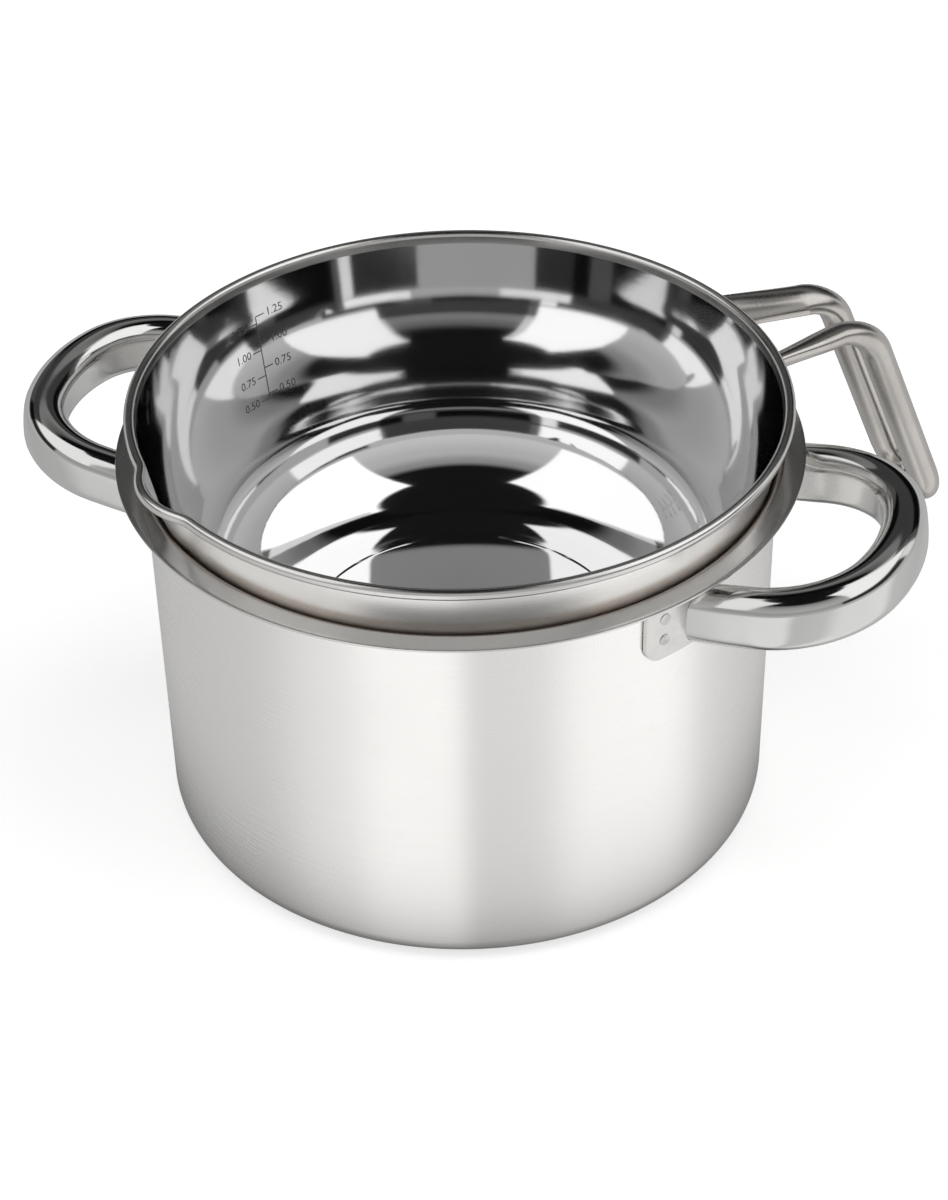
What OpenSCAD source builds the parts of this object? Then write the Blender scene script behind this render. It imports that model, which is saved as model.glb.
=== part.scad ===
// Two-piece stainless double boiler: a deep pot for the water and a pouring bowl that hangs in its mouth.
// +Z is up, the origin is the centre of the pot's underside, and +X runs along the right pot handle.

/* [Pot] */
// Outer radius of the straight pot wall
pot_wall_r = 92.2; // [80:0.1:120]
// Height of the pot from its underside to the top of the lip
pot_h = 120; // [110:1:160]
// Thickness of the pot's sheet
pot_sheet = 0.8; // [0.6:0.1:1.4]
// Outer radius of the rounded edge round the base
pot_corner_r = 7; // [4:0.5:15]
// Width of the flat lip beyond the rounded mouth
lip_flat_w = 5.6; // [4:0.1:8]
// Inner radius of the rounded mouth, where the wall turns out into the lip
mouth_r = 3; // [2:0.1:5]

/* [Pot handles] */
// Width of the flattened handle tube
tube_w = 13; // [10:0.5:15]
// Height of the flattened handle tube
tube_h = 18; // [16:0.5:19]
// Wall of the handle tube
tube_wall = 1; // [0.8:0.1:2]
// Height of the tube's centre below the top of the lip
tube_drop = 13.5; // [12:0.5:30]
// Distance from the wall to the tube's centre at the middle of the grip
grip_reach = 39.3; // [34:0.1:60]
// Rise of the handle outwards from the wall
grip_rise = 8; // [0:1:12]
// Centre radius of the two bends of a handle
bend_r = 30; // [24:0.5:34]
// Centre radius of the curved grip between the bends
grip_r = 55; // [48:0.5:80]

/* [Tabs] */
// Thickness of the tab plates
tab_t = 1.2; // [0.8:0.1:2]
// Height of a pot tab
pot_tab_h = 19.6; // [17:0.1:20]
// Length of the ear of a pot tab beyond the tube
pot_ear_l = 14; // [8:0.5:20]
// Corner radius of the pot tabs
pot_tab_r = 5; // [2:0.5:6]
// Height of a bowl tab
bowl_tab_h = 8.6; // [7:0.1:9]
// Length of the ear of a bowl tab beyond the arm
bowl_ear_l = 9; // [7:0.5:14]
// Corner radius of the bowl tabs
bowl_tab_r = 3; // [1:0.5:3.5]
// Length of the tongue on each tab that enters the tube
tongue_l = 7; // [4:0.5:12]
// Diameter of a spot weld
weld_d = 3.4; // [2:0.1:5]
// Height of a spot weld above its tab
weld_proud = 0.2; // [0.1:0.05:0.5]
// Distance between the two spot welds of a pot tab
weld_pitch = 7; // [5:0.5:9]

/* [Bowl] */
// Height of the bowl's rim above the top of the pot's lip when it is seated
bowl_proud = 16; // [15:0.5:30]
// Depth of the bowl from its rim to its underside
bowl_depth = 86; // [70:1:100]
// Lean of the bowl's wall from the vertical
bowl_taper = 9; // [5:0.5:12]
// Thickness of the bowl's sheet
bowl_sheet = 0.7; // [0.5:0.1:1.2]
// Outer radius of the rounded edge round the bowl's flat bottom
bowl_corner_r = 36; // [20:1:45]
// Radius of the rolled bead round the rim
bead_r = 1.6; // [1.2:0.1:2.5]

/* [Spout] */
// Direction of the spout round the bowl
spout_angle = 232; // [200:1:260]
// Radius of the spout in plan, at the rim
spout_r = 23.4; // [18:0.1:30]
// Distance that the spout stands out from the round rim
spout_out = 3.8; // [2:0.1:6]
// Height above the seat at which the spout fades into the wall
spout_fade = 1.5; // [1:0.5:4]

/* [Bowl handle] */
// Direction of the handle round the bowl
handle_angle = 47; // [40:1:60]
// Height of the arms' centre below the bowl's rim
arm_drop = 8; // [7.9:0.1:9]
// Distance between the arms where they leave the bowl
arm_gap = 33; // [28:0.5:38]
// Distance between the two legs that hang from the arms
hang_gap = 22.5; // [20:0.5:26]
// Distance from the bowl's rim to the centre of the legs at the bend
handle_reach = 42; // [36:0.5:50]
// Straight length of a leg
hang_l = 56; // [30:1:62]
// Lean of the legs from the vertical
hang_lean = 23; // [5:1:30]
// Centre radius of the bend from an arm to its leg
elbow_r = 15; // [11:0.5:18]
// Width of the tube across an arm
arm_w = 11; // [8:0.1:12]
// Thickness of the flattened tube at the bowl
arm_t = 5; // [4.6:0.1:7]
// Thickness of the tube at the legs
hang_t = 9.2; // [7:0.1:11]
// Turn of the flattened tube about its own length at the bowl
arm_tilt = 40; // [0:1:45]
// Wall of the handle's tube
handle_wall = 1; // [0.6:0.1:1.2]

/* [Clearances] */
// Gap between the bowl's wall and the pot's mouth when it is seated
seat_gap = 0.3; // [0.2:0.05:0.6]
// Gap between a tab and the wall that it is welded to
weld_gap = 0.2; // [0.1:0.05:0.4]
// Gap between a tube and its tab
tube_gap = 0.3; // [0.2:0.05:0.5]

/* [Travel] */
// Height that the bowl is lifted for display, 0 when it is seated
lift = 0; // [0:1:110]

/* [Hidden] */
$fn = 96;

// Material left over on cutters so that no two faces of a cut lie in one plane
over = 1;

// Pot
pot_inner_r = pot_wall_r - pot_sheet;
mouth_outer_r = mouth_r - pot_sheet;
mouth_centre_r = pot_inner_r + mouth_r;
lip_r = mouth_centre_r + lip_flat_w;

// Pot handles: a bend and the grip meet in a plane through both their centres. Its slope of 7 in 24
// has a round sine and cosine, so both tubes end on exactly the same circle there.
joint_angle = atan2(7, 24);
joint_cos = 0.96;
joint_sin = 0.28;
tube_z = pot_h - tube_drop;
grip_x = pot_wall_r + grip_reach - grip_r;
bend_x = grip_x + joint_cos * (grip_r - bend_r);
bend_y = joint_sin * (grip_r - bend_r);
leg_y = bend_y + bend_r;
tube_end_r = pot_wall_r + weld_gap + tab_t + tube_gap;
// Height that the tongues leave free inside the tube
tongue_play = 3;

// Pot tabs lie behind the tube's end and stretch past it as an ear
pot_tab_angle = asin(leg_y / tube_end_r);
pot_tab_in = tube_w / 2;
pot_tab_out = tube_w / 2 + pot_ear_l;
pot_tab_z = pot_h - mouth_r - pot_tab_h / 2;
pot_weld_y = tube_w / 2 + pot_ear_l / 2 + 0.6;

// Bowl: the wall's cone keeps the seat gap from the pot's rounded mouth
bowl_rim_z = pot_h + bowl_proud;
bead_z = bowl_rim_z - bead_r;
bowl_floor_z = bowl_rim_z - bowl_depth;
bowl_corner_z = bowl_floor_z + bowl_corner_r;
seat_z = pot_h - mouth_r;
seat_r = mouth_centre_r - (mouth_r + seat_gap) / cos(bowl_taper);
function wall_r(z) = seat_r + (z - seat_z) * tan(bowl_taper);
bowl_skin = bowl_sheet / cos(bowl_taper);
bowl_corner_c = wall_r(bowl_corner_z) - bowl_corner_r / cos(bowl_taper);
// The bead is sunk this far into the line of the inner wall, so that the cut leaves no feather edge
bead_sink = 0.05;
bead_c = wall_r(bead_z) - bowl_skin + bead_r / cos(bowl_taper) - bead_sink;

// Spout: a cone that stands out at the rim and runs back into the wall
spout_c = wall_r(bead_z) + spout_out - spout_r;
spout_fade_z = seat_z + spout_fade;
spout_slope = atan((spout_r - wall_r(spout_fade_z) + spout_c) / (bead_z - spout_fade_z));
// The cone runs on this far below the height where it meets the wall
spout_root = 5;
spout_low_z = spout_fade_z - spout_root;
spout_skin = bowl_sheet / cos(spout_slope);
spout_bead_r = spout_r - spout_skin + bead_r / cos(spout_slope) - bead_sink;

// Bowl handle, in a frame whose X axis runs along handle_angle
arm_z = bowl_rim_z - arm_drop;
arm_y = arm_gap / 2;
hang_y = hang_gap / 2;
arm_end_r = wall_r(arm_z) + weld_gap + tab_t + tube_gap;
arm_x0 = sqrt(arm_end_r * arm_end_r - arm_y * arm_y);
elbow_x = wall_r(bowl_rim_z) + handle_reach - elbow_r;
arm_yaw = atan((arm_y - hang_y) / (elbow_x - arm_x0));
elbow_turn = 90 - hang_lean;
handle_sides = 20;
elbow_steps = 8;
arm_steps = 5;
hang_steps = 3;
u_steps = 7;

// Bowl tabs
bowl_tab_angle = asin(arm_y / arm_end_r);
bowl_tab_in = arm_w / 2;
bowl_tab_out = arm_w / 2 + bowl_ear_l;
bowl_weld_y = arm_w / 2 + bowl_ear_l / 2 + 0.8;

// Shapes that repeat

module rounded_rect(x_low, x_high, h, r) {
    for (x = [x_low + r, x_high - r]) {
        for (y = [r - h / 2, h / 2 - r]) {
            translate([x, y]) circle(r);
        }
    }
    translate([x_low + r, -h / 2]) square([x_high - x_low - 2 * r, h]);
    translate([x_low, r - h / 2]) square([x_high - x_low, h - 2 * r]);
}

// Ring with a round section, centred on the Z axis at height z
module ring_tube(ring_r, section_r, z) {
    translate([0, 0, z]) rotate_extrude() translate([ring_r, 0]) circle(section_r, $fn = 48);
}

// Pot

module pot_outer_outline() {
    translate([0, pot_corner_r]) square([pot_wall_r, pot_h - pot_corner_r]);
    square([pot_wall_r - pot_corner_r, pot_h / 2]);
    translate([pot_wall_r - pot_corner_r, pot_corner_r]) circle(pot_corner_r);
    translate([0, pot_h - pot_sheet]) square([lip_r, pot_sheet]);
    difference() {
        translate([0, pot_h - mouth_r]) square([mouth_centre_r, mouth_r]);
        translate([mouth_centre_r, pot_h - mouth_r]) circle(mouth_outer_r);
    }
}

module pot_inner_outline() {
    inner_corner_r = pot_corner_r - pot_sheet;
    translate([0, pot_corner_r]) square([pot_inner_r, pot_h]);
    translate([0, pot_sheet]) square([pot_inner_r - inner_corner_r, pot_h / 2]);
    translate([pot_inner_r - inner_corner_r, pot_corner_r]) circle(inner_corner_r);
    difference() {
        translate([0, pot_h - mouth_r]) square([mouth_centre_r, mouth_r + over]);
        translate([mouth_centre_r, pot_h - mouth_r]) circle(mouth_r);
    }
}

module pot_body() {
    color("silver") rotate_extrude() intersection() {
        difference() {
            pot_outer_outline();
            pot_inner_outline();
        }
        square([lip_r + over, pot_h + over]);
    }
}

// Pot handles and their tabs

// Block whose one face is the joint's plane, on the bend's side of it. side is 1 towards +Y, -1 towards -Y.
module past_joint(side) {
    size = 2 * grip_r;
    rotate([0, 0, side * joint_angle]) translate([0, side < 0 ? -size : 0, -size / 2]) cube(size);
}

// Upright section of the flattened tube
module tube_outline(inset) {
    straight_h = tube_h - tube_w;
    for (side = [-1, 1]) {
        translate([0, side * straight_h / 2]) circle(tube_w / 2 - inset, $fn = 48);
    }
    translate([inset - tube_w / 2, -straight_h / 2]) square([tube_w - 2 * inset, straight_h]);
}

// A leg and a bend on each side, and the grip between them, in the tube's own level plane
module grip_tube(inset, run_in) {
    for (side = [0, 1]) {
        mirror([0, side, 0]) {
            translate([bend_x - run_in, -leg_y, 0]) rotate([90, 0, 90]) linear_extrude(run_in) tube_outline(inset);
            translate([bend_x, -bend_y, 0]) intersection() {
                rotate([0, 0, -90]) rotate_extrude(angle = 90) translate([bend_r, 0]) tube_outline(inset);
                past_joint(-1);
            }
        }
    }
    translate([grip_x, 0, 0]) difference() {
        rotate([0, 0, -90]) rotate_extrude(angle = 180) translate([grip_r, 0]) tube_outline(inset);
        past_joint(-1);
        past_joint(1);
    }
}

// Lifts the tube's plane to its height at the wall and lets it rise outwards from there
module risen() {
    translate([pot_wall_r, 0, tube_z]) rotate([0, -grip_rise, 0]) translate([-pot_wall_r, 0, 0]) children();
}

module pot_handle() {
    color("gainsboro") difference() {
        risen() grip_tube(0, bend_x);
        risen() grip_tube(tube_wall, bend_x + over);
        cylinder(r = tube_end_r, h = pot_h + over);
    }
}

// side is 1 for the tab on +Y and -1 for the one on -Y
module pot_tab(side) {
    plate_r = pot_wall_r + weld_gap;
    tongue_h = tube_h - 2 * tube_wall - tongue_play;
    color("gainsboro") difference() {
        union() {
            rotate([0, 0, side * pot_tab_angle]) intersection() {
                difference() {
                    cylinder(r = plate_r + tab_t, h = pot_h);
                    translate([0, 0, -over]) cylinder(r = plate_r, h = pot_h + 2 * over);
                }
                translate([plate_r / 2, 0, pot_tab_z]) rotate([90, 0, 90])
                    linear_extrude(plate_r) mirror([side < 0 ? 1 : 0, 0])
                        rounded_rect(-pot_tab_in, pot_tab_out, pot_tab_h, pot_tab_r);
            }
            difference() {
                risen() translate([0, side * leg_y - tab_t / 2, -tongue_h / 2])
                    cube([sqrt(tube_end_r * tube_end_r - leg_y * leg_y) + tongue_l, tab_t, tongue_h]);
                cylinder(r = plate_r + tab_t / 2, h = pot_h);
            }
        }
        pot_weld_pair(side);
    }
}

module pot_weld_pair(side) {
    for (step = [-0.5, 0.5]) {
        translate([0, 0, pot_tab_z + step * weld_pitch])
            rotate([0, 0, side * (pot_tab_angle + asin(pot_weld_y / pot_wall_r))]) rotate([0, 90, 0])
                translate([0, 0, pot_wall_r]) cylinder(d = weld_d, h = weld_gap + tab_t + weld_proud);
    }
}

module pot_welds() {
    color("gray") for (side = [-1, 1]) pot_weld_pair(side);
}

// Bowl

module bowl_outline(inset, skin, top_z) {
    corner_r = bowl_corner_r - inset;
    floor_z = bowl_floor_z + inset;
    polygon([
        [0, floor_z],
        [bowl_corner_c, floor_z],
        [bowl_corner_c + corner_r * cos(bowl_taper), bowl_corner_z - corner_r * sin(bowl_taper)],
        [wall_r(top_z) - skin, top_z],
        [0, top_z]
    ]);
    intersection() {
        translate([bowl_corner_c, bowl_corner_z]) circle(corner_r);
        polygon([
            [bowl_corner_c, floor_z - over],
            [bowl_corner_c + 2 * corner_r, floor_z - over],
            [bowl_corner_c + 2 * corner_r * cos(bowl_taper), bowl_corner_z - 2 * corner_r * sin(bowl_taper)],
            [bowl_corner_c, bowl_corner_z]
        ]);
    }
}

// A cone with the spout's slope, from inside the bowl up to top_z
module spout_cone(inset, top_z) {
    translate([spout_c, 0, spout_low_z]) cylinder(
        h = top_z - spout_low_z,
        r1 = spout_r - inset - (bead_z - spout_low_z) * tan(spout_slope),
        r2 = spout_r - inset + (top_z - bead_z) * tan(spout_slope)
    );
}

module bowl_body() {
    color("silver") difference() {
        union() {
            rotate_extrude() bowl_outline(0, 0, bead_z);
            ring_tube(bead_c, bead_r, bead_z);
            rotate([0, 0, spout_angle]) {
                spout_cone(0, bead_z);
                translate([spout_c, 0, 0]) ring_tube(spout_bead_r, bead_r, bead_z);
            }
        }
        rotate_extrude() bowl_outline(bowl_sheet, bowl_skin, bowl_rim_z + over);
        rotate([0, 0, spout_angle]) spout_cone(spout_skin, bowl_rim_z + over);
    }
}

// Bowl handle: a tube swept along an arm, an elbow, a leg and half of the bottom bend, then mirrored

function along(a, b, f) = a + (b - a) * f;
function ease(f) = f * f * (3 - 2 * f);
function yawed(v) = [
    v[0] * cos(arm_yaw) + v[1] * sin(arm_yaw),
    v[1] * cos(arm_yaw) - v[0] * sin(arm_yaw),
    v[2]
];

// Stations are [centre, outward side, upper side, share of the way from arm to leg]. elbow_share is the
// share at the start of the elbow.
arm_start = [arm_x0, arm_y, arm_z];
elbow_start = [elbow_x, hang_y, arm_z];
elbow_centre = [elbow_x, hang_y, arm_z - elbow_r];
hang_dir = [sin(hang_lean), 0, -cos(hang_lean)];
hang_out = [cos(hang_lean), 0, sin(hang_lean)];
hang_start = elbow_centre + elbow_r * hang_out;
u_centre = hang_start + hang_l * hang_dir - [0, hang_y, 0];

elbow_share = 0.45;
arm_stations = [for (k = [0:arm_steps]) let (f = k / arm_steps, out = along(yawed([0, 1, 0]), [0, 1, 0], f))
    [along(arm_start, elbow_start, f), out, [0, 0, 1], elbow_share * ease(f)]];
elbow_stations = [for (k = [1:elbow_steps])
    let (f = k / elbow_steps, a = elbow_turn * f, up = [sin(a), 0, cos(a)])
    [elbow_centre + elbow_r * up, [0, 1, 0], up, along(elbow_share, 1, ease(f))]];
hang_stations = [for (k = [1:hang_steps]) let (f = k / hang_steps)
    [along(hang_start, hang_start + hang_l * hang_dir, f), [0, 1, 0], hang_out, 1]];
u_stations = [for (k = [1:u_steps]) let (a = 90 * k / u_steps, out = cos(a) * [0, 1, 0] + sin(a) * hang_dir)
    [u_centre + hang_y * out, out, hang_out, 1]];
half_stations = concat(arm_stations, elbow_stations, hang_stations, u_stations);

function section(s, inset) = let (
        w = arm_w / 2 - inset,
        t = along(arm_t, hang_t, s[3]) / 2 - inset,
        turn = arm_tilt * (1 - s[3]),
        u = cos(turn) * s[1] + sin(turn) * s[2],
        v = cos(turn) * s[2] - sin(turn) * s[1]
    )
    [for (j = [0:handle_sides - 1]) let (a = 360 * j / handle_sides) s[0] + w * cos(a) * u + t * sin(a) * v];

// Moves the first ring's points along X onto the cone that the arm ends at
function seated(ring) = [for (p = ring)
    let (r = arm_end_r + (p[2] - arm_z) * tan(bowl_taper)) [sqrt(r * r - p[1] * p[1]), p[1], p[2]]];
function mirrored(ring) = [for (p = ring) [p[0], -p[1], p[2]]];
function half_rings(inset) = [for (k = [0:len(half_stations) - 1])
    k == 0 ? seated(section(half_stations[k], inset)) : section(half_stations[k], inset)];
function all_rings(inset) = let (half = half_rings(inset), last = len(half) - 1)
    concat(half, [for (k = [last - 1:-1:0]) mirrored(half[k])]);
function flat(rings) = [for (ring = rings) for (p = ring) p];

module bowl_handle() {
    n = handle_sides;
    outer = all_rings(0);
    inner = all_rings(handle_wall);
    m = len(outer);
    base = m * n;
    end = base - n;
    faces = concat(
        [for (k = [0:m - 2]) for (j = [0:n - 1]) let (i = (j + 1) % n)
            [k * n + j, (k + 1) * n + j, (k + 1) * n + i, k * n + i]],
        [for (k = [0:m - 2]) for (j = [0:n - 1]) let (i = (j + 1) % n)
            [base + k * n + i, base + (k + 1) * n + i, base + (k + 1) * n + j, base + k * n + j]],
        [for (j = [0:n - 1]) let (i = (j + 1) % n) [j, i, base + i, base + j]],
        [for (j = [0:n - 1]) let (i = (j + 1) % n) [end + i, end + j, base + end + j, base + end + i]]
    );
    color("silver") rotate([0, 0, handle_angle])
        polyhedron(points = concat(flat(outer), flat(inner)), faces = faces, convexity = 6);
}

// Ring of the wall's slope between two distances from the wall, over the height of the tabs
module wall_band(near, far) {
    low_z = arm_z - bowl_tab_h;
    high_z = arm_z + bowl_tab_h;
    difference() {
        translate([0, 0, low_z])
            cylinder(h = high_z - low_z, r1 = wall_r(low_z) + far, r2 = wall_r(high_z) + far);
        translate([0, 0, low_z - over]) cylinder(
            h = high_z - low_z + 2 * over,
            r1 = wall_r(low_z - over) + near,
            r2 = wall_r(high_z + over) + near
        );
    }
}

// side is 1 for the tab on the spout's left, -1 for the other
module bowl_tab(side) {
    tongue_w = arm_w / 2;
    plate_r = wall_r(arm_z) + weld_gap;
    color("gainsboro") rotate([0, 0, handle_angle]) difference() {
        union() {
            intersection() {
                wall_band(weld_gap, weld_gap + tab_t);
                rotate([0, 0, side * bowl_tab_angle]) translate([plate_r / 2, 0, arm_z]) rotate([90, 0, 90])
                    linear_extrude(plate_r) mirror([side < 0 ? 1 : 0, 0])
                        rounded_rect(-bowl_tab_in, bowl_tab_out, bowl_tab_h, bowl_tab_r);
            }
            difference() {
                translate([arm_x0, side * arm_y, arm_z]) rotate([0, 0, -side * arm_yaw])
                    rotate([side * arm_tilt, 0, 0])
                        translate([-tab_t - tube_gap - over, -tongue_w / 2, -tab_t / 2])
                            cube([tab_t + tube_gap + over + tongue_l, tongue_w, tab_t]);
                wall_band(-2 * over, weld_gap + tab_t / 2);
            }
        }
        bowl_weld_spot(side);
    }
}

module bowl_weld_spot(side) {
    rotate([0, 0, side * (bowl_tab_angle + asin(bowl_weld_y / wall_r(arm_z)))])
        translate([wall_r(arm_z), 0, arm_z]) rotate([0, 90 + bowl_taper, 0])
            cylinder(d = weld_d, h = weld_gap + tab_t + weld_proud);
}

module bowl_welds() {
    color("gray") rotate([0, 0, handle_angle]) for (side = [-1, 1]) bowl_weld_spot(side);
}

module lifted() {
    translate([0, 0, lift]) children();
}

module on_left() {
    rotate([0, 0, 180]) children();
}

pot_body();
pot_handle();  // pot_handle_right
on_left() pot_handle();  // pot_handle_left
pot_tab(-1);  // pot_tab_right_front
pot_tab(1);  // pot_tab_right_rear
on_left() pot_tab(1);  // pot_tab_left_front
on_left() pot_tab(-1);  // pot_tab_left_rear
pot_welds();  // pot_welds_right
on_left() pot_welds();  // pot_welds_left
lifted() bowl_body();
lifted() bowl_handle();
lifted() bowl_tab(-1);  // bowl_tab_front
lifted() bowl_tab(1);  // bowl_tab_rear
lifted() bowl_welds();
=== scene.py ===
import math

import bmesh
import bpy
from mathutils import Matrix, Vector


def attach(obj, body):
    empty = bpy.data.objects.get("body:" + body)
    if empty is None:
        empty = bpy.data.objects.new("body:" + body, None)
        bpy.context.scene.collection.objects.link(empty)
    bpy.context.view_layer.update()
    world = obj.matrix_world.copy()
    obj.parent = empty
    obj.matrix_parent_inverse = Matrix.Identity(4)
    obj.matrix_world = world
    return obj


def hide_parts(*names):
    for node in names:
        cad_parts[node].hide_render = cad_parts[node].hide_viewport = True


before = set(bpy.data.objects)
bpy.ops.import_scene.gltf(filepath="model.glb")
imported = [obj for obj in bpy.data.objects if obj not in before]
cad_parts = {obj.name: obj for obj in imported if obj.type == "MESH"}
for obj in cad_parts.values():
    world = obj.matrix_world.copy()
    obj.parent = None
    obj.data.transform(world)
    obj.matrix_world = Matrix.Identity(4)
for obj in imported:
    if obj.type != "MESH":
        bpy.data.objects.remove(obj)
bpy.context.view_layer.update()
mm = 0.001
print("frame loaded:", len(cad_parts), "nodes")


# The photograph's view: its camera looks along +Y of a frame turned by turnDeg from the part's own
camera = {
    "place": (3.05 * mm, -635.7 * mm, 541.0 * mm),
    "turnDeg": 22.3,
    "downDeg": 37.05,
    "rollDeg": -1.15,
    "focalPixels": 2616.1,
    "photoHeight": 1200,
    "sensor": 36,
}


def aimCamera():
    turn = Matrix.Rotation(math.radians(camera["turnDeg"]), 4, "Z")
    tilt = Matrix.Rotation(math.radians(90 - camera["downDeg"]), 4, "X")
    roll = Matrix.Rotation(math.radians(camera["rollDeg"]), 4, "Z")
    bpy.ops.object.camera_add()
    view = bpy.context.active_object
    view.name = "photoView"
    view.matrix_world = turn @ Matrix.Translation(camera["place"]) @ tilt @ roll
    view.data.sensor_width = camera["sensor"]
    view.data.lens = camera["focalPixels"] / camera["photoHeight"] * camera["sensor"]
    bpy.context.scene.camera = view


aimCamera()
print("camera in place")


# Modelling helpers

def startPiece(name, addPrimitive, **settings):
    bpy.ops.object.select_all(action="DESELECT")
    addPrimitive(**settings)
    piece = bpy.context.active_object
    piece.name = name
    piece.data.name = name
    return piece


def editOn(piece):
    bpy.context.view_layer.objects.active = piece
    bpy.ops.object.mode_set(mode="EDIT")
    bpy.ops.mesh.select_mode(type="VERT")


def editOff():
    bpy.ops.object.mode_set(mode="OBJECT")


def startLine(name, x, z):
    # a single vertex in the XZ plane, from which a section is drawn by extruding and spinning it
    piece = startPiece(name, bpy.ops.mesh.primitive_plane_add, size=mm, location=(0, 0, 0))
    editOn(piece)
    bpy.ops.mesh.merge(type="CENTER")
    bpy.ops.transform.translate(value=(x, 0, z))
    return piece


def startRing(name, sides):
    # a ring of selected points, which the caller puts in place
    ring = startPiece(name, bpy.ops.mesh.primitive_circle_add, vertices=sides, radius=mm, location=(0, 0, 0))
    editOn(ring)
    bpy.ops.mesh.select_all(action="SELECT")
    return ring


def lineEnd(piece):
    return next(v.co.copy() for v in bmesh.from_edit_mesh(piece.data).verts if v.select)


def lineTo(piece, x, z, steps=1):
    move = (Vector((x, 0, z)) - lineEnd(piece)) / steps
    for _ in range(steps):
        bpy.ops.mesh.extrude_region_move(TRANSFORM_OT_translate={"value": move})


def arcOn(centreX, centreZ, degrees, steps):
    # positive degrees turn from +Z towards +X
    bpy.ops.mesh.spin(steps=steps, angle=-math.radians(degrees), center=(centreX, 0, centreZ), axis=(0, 1, 0))


def joinUp(distance=0.002 * mm):
    # merges the points that lie closer than distance, turns all faces outwards and ends the editing
    bpy.ops.mesh.select_all(action="SELECT")
    bpy.ops.mesh.remove_doubles(threshold=distance)
    bpy.ops.mesh.normals_make_consistent(inside=False)
    editOff()


def spinRound(steps):
    bpy.ops.mesh.select_all(action="SELECT")
    bpy.ops.mesh.spin(steps=steps, angle=math.tau, center=(0, 0, 0), axis=(0, 0, 1))
    joinUp()


def finishModifier(piece, modifier):
    bpy.context.view_layer.objects.active = piece
    bpy.ops.object.modifier_apply(modifier=modifier.name)


def giveThickness(piece, thickness):
    # the sheet grows downwards at the lowest face of the piece
    lowest = min(piece.data.polygons, key=lambda face: face.center.z)
    sheet = piece.modifiers.new("sheet", "SOLIDIFY")
    sheet.thickness = thickness
    sheet.use_even_offset = True
    sheet.offset = 1 if lowest.normal.z < 0 else -1
    finishModifier(piece, sheet)


def hollowOut(tube, thickness):
    wall = tube.modifiers.new("wall", "SOLIDIFY")
    wall.thickness = thickness
    wall.offset = -1
    finishModifier(tube, wall)


def softenEdges(piece, width, angleDeg):
    edge = piece.modifiers.new("edge", "BEVEL")
    edge.width = width
    edge.segments = 2
    edge.limit_method = "ANGLE"
    edge.angle_limit = math.radians(angleDeg)
    finishModifier(piece, edge)


def selectOnly(*pieces):
    bpy.ops.object.select_all(action="DESELECT")
    for piece in pieces:
        piece.select_set(True)
    bpy.context.view_layer.objects.active = pieces[0]


def smooth(piece, angleDeg=40):
    selectOnly(piece)
    bpy.ops.object.shade_smooth_by_angle(angle=math.radians(angleDeg))


def finishPiece(piece, body, slot, *nodes):
    selectOnly(piece)
    bpy.ops.object.transform_apply(location=True, rotation=True, scale=True)
    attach(piece, body)
    if nodes:
        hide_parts(*nodes)


# Pot: one sheet, drawn along its inner face and thickened outwards

pot = {
    "wallR": 91.4 * mm,
    "height": 120 * mm,
    "sheet": 0.8 * mm,
    "cornerR": 6.2 * mm,
    "mouthR": 3 * mm,
    "lipWidth": 5.6 * mm,
    "lipEdge": 0.3 * mm,
    "lipEdgeDeg": 60,
    "mouthLimit": 94.2 * mm,
    "floorSteps": 10,
    "cornerSteps": 16,
    "wallSteps": 28,
    "mouthSteps": 14,
    "lipSteps": 4,
    "roundSteps": 288,
}


def makePot():
    p = pot
    floorZ = p["sheet"]
    cornerX = p["wallR"] - p["cornerR"]
    cornerZ = floorZ + p["cornerR"]
    mouthX = p["wallR"] + p["mouthR"]
    mouthZ = p["height"] - p["mouthR"]
    shell = startLine("potShell", 0, floorZ)
    lineTo(shell, cornerX, floorZ, p["floorSteps"])
    arcOn(cornerX, cornerZ, -90, p["cornerSteps"])
    lineTo(shell, p["wallR"], mouthZ, p["wallSteps"])
    arcOn(mouthX, mouthZ, 90, p["mouthSteps"])
    lineTo(shell, mouthX + p["lipWidth"], p["height"], p["lipSteps"])
    spinRound(p["roundSteps"])
    giveThickness(shell, p["sheet"])
    softenEdges(shell, p["lipEdge"], p["lipEdgeDeg"])
    smooth(shell)
    return shell


potShell = makePot()
print("pot shell:", len(potShell.data.polygons), "faces")


# Pot handles: a tube drawn from leg to leg by extruding and spinning its end

handle = {
    "width": 13 * mm,
    "tall": 18 * mm,
    "tubeWall": 1 * mm,
    "height": 106.5 * mm,
    "riseDeg": 8,
    "bendR": 30 * mm,
    "gripR": 55 * mm,
    "reach": 131.5 * mm,
    "jointDeg": math.degrees(math.atan2(7, 24)),
    "wallR": 92.2 * mm,
    "wallEnd": 93.9 * mm,
    "legStart": 60 * mm,
    "legSteps": 20,
    "bendSteps": 30,
    "gripSteps": 20,
    "sides": 56,
    "sideSpread": 4,
    "flat": 0.1,
    "flatLength": 12 * mm,
    "mergeDistance": 0.02 * mm,
}


def pathPlaces():
    h = handle
    joint = math.radians(h["jointDeg"])
    gripX = h["reach"] - h["gripR"]
    bendX = gripX + (h["gripR"] - h["bendR"]) * math.cos(joint)
    bendY = (h["gripR"] - h["bendR"]) * math.sin(joint)
    return gripX, bendX, bendY


def tubeSection(angle):
    # a flattened tube's outline: two half rounds, drawn apart by the straight sides between them
    roundR = handle["width"] / 2
    apart = min(1, max(-1, handle["sideSpread"] * math.sin(angle)))
    return roundR * math.cos(angle), roundR * math.sin(angle) + (handle["tall"] / 2 - roundR) * apart


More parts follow.
